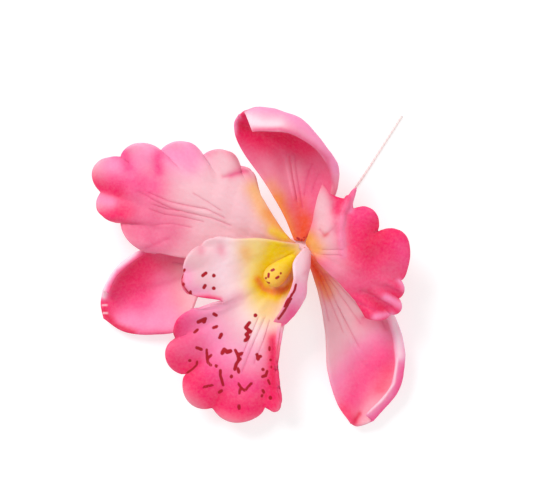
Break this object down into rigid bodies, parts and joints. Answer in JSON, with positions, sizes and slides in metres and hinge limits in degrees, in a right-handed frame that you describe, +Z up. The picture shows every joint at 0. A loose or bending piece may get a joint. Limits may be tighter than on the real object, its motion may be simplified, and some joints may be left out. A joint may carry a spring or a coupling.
{
  "type": "orchid flower",
  "caption": "Sugar-paste cattleya orchid with hooded sepals, frilled petals and a spotted lip round a column, lying face up on its covered wire to decorate a cake.",
  "frame": {"origin": "on the surface that the flower lies on, under the middle of its bounding box", "axes": "+Z up, out of the face of the flower; +Y towards the hooded upper sepal's side; +X to the right as the flower is looked at from above"},
  "size_m": [0.1059, 0.1065, 0.0296],
  "materials": {
    "centre_paste": "dried sugar paste, dusted yellow",
    "sepal_paste": "dried sugar paste, airbrushed pink, satin",
    "petal_paste": "dried sugar paste, airbrushed pink over white, satin",
    "lip_paste": "dried sugar paste, airbrushed pink and yellow with painted dark red spots, satin",
    "column_paste": "dried sugar paste, airbrushed yellow, satin",
    "wire_paper": "wound florist paper, matt",
    "wire_steel": "drawn and cut"
  },
  "bodies": {
    "root": {"centre_paste": "centre_paste", "dorsal_sepal": "sepal_paste", "left_lateral_sepal": "sepal_paste", "right_lateral_sepal": "sepal_paste", "left_petal": "petal_paste", "right_petal": "petal_paste", "lip": "lip_paste", "column": "column_paste", "wire_cover": "wire_paper", "wire_core": "wire_steel"}
  },
  "joints": []
}
